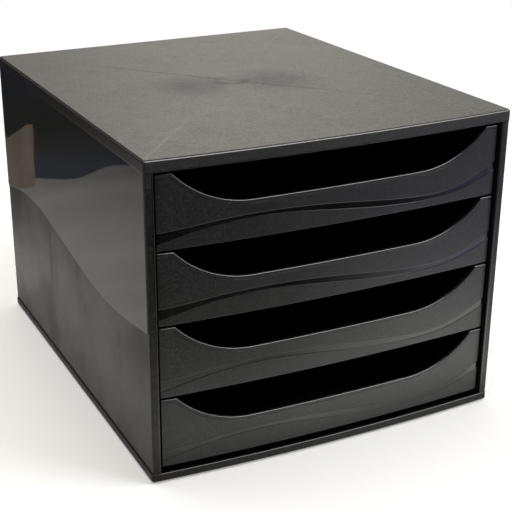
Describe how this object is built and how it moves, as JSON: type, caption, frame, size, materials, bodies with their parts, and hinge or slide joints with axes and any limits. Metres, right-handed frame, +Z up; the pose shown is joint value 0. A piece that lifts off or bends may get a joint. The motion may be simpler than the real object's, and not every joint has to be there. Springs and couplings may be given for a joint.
{
  "type": "letter tray stack with drawers",
  "caption": "Desk case of stacked full-width document drawers with a bowed front; each drawer slides out by a long scoop in its face to a stop.",
  "frame": {"origin": "on the table under the middle of the whole case, at the bottom centre of its bounding box", "axes": "+X to the right as seen from the front, +Y from the drawer fronts to the back panel, +Z up"},
  "size_m": [0.284, 0.347, 0.2365],
  "materials": {
    "case_plastic": "moulded black polystyrene; fine pebble grain on lid and rims, gloss on the side panels",
    "drawer_plastic": "moulded black polystyrene with a fine grain and a polished wave ribbon",
    "foot_rubber": "soft black rubber pads"
  },
  "bodies": {
    "housing": {"top_panel": "case_plastic", "bottom_panel": "case_plastic", "left_side_panel": "case_plastic", "right_side_panel": "case_plastic", "back_panel": "case_plastic", "foot_front_left": "foot_rubber", "foot_front_right": "foot_rubber", "foot_back_left": "foot_rubber", "foot_back_right": "foot_rubber"},
    "drawer_1": {"drawer_1": "drawer_plastic"},
    "drawer_2": {"drawer_2": "drawer_plastic"},
    "drawer_3": {"drawer_3": "drawer_plastic"},
    "drawer_4": {"drawer_4": "drawer_plastic"}
  },
  "joints": [
    {"name": "drawer_1_slide", "type": "slide", "parent": "housing", "child": "drawer_1", "axis": [0, -1, 0], "range_m": [0, 0.25]},
    {"name": "drawer_2_slide", "type": "slide", "parent": "housing", "child": "drawer_2", "axis": [0, -1, 0], "range_m": [0, 0.25]},
    {"name": "drawer_3_slide", "type": "slide", "parent": "housing", "child": "drawer_3", "axis": [0, -1, 0], "range_m": [0, 0.25]},
    {"name": "drawer_4_slide", "type": "slide", "parent": "housing", "child": "drawer_4", "axis": [0, -1, 0], "range_m": [0, 0.25]}
  ]
}
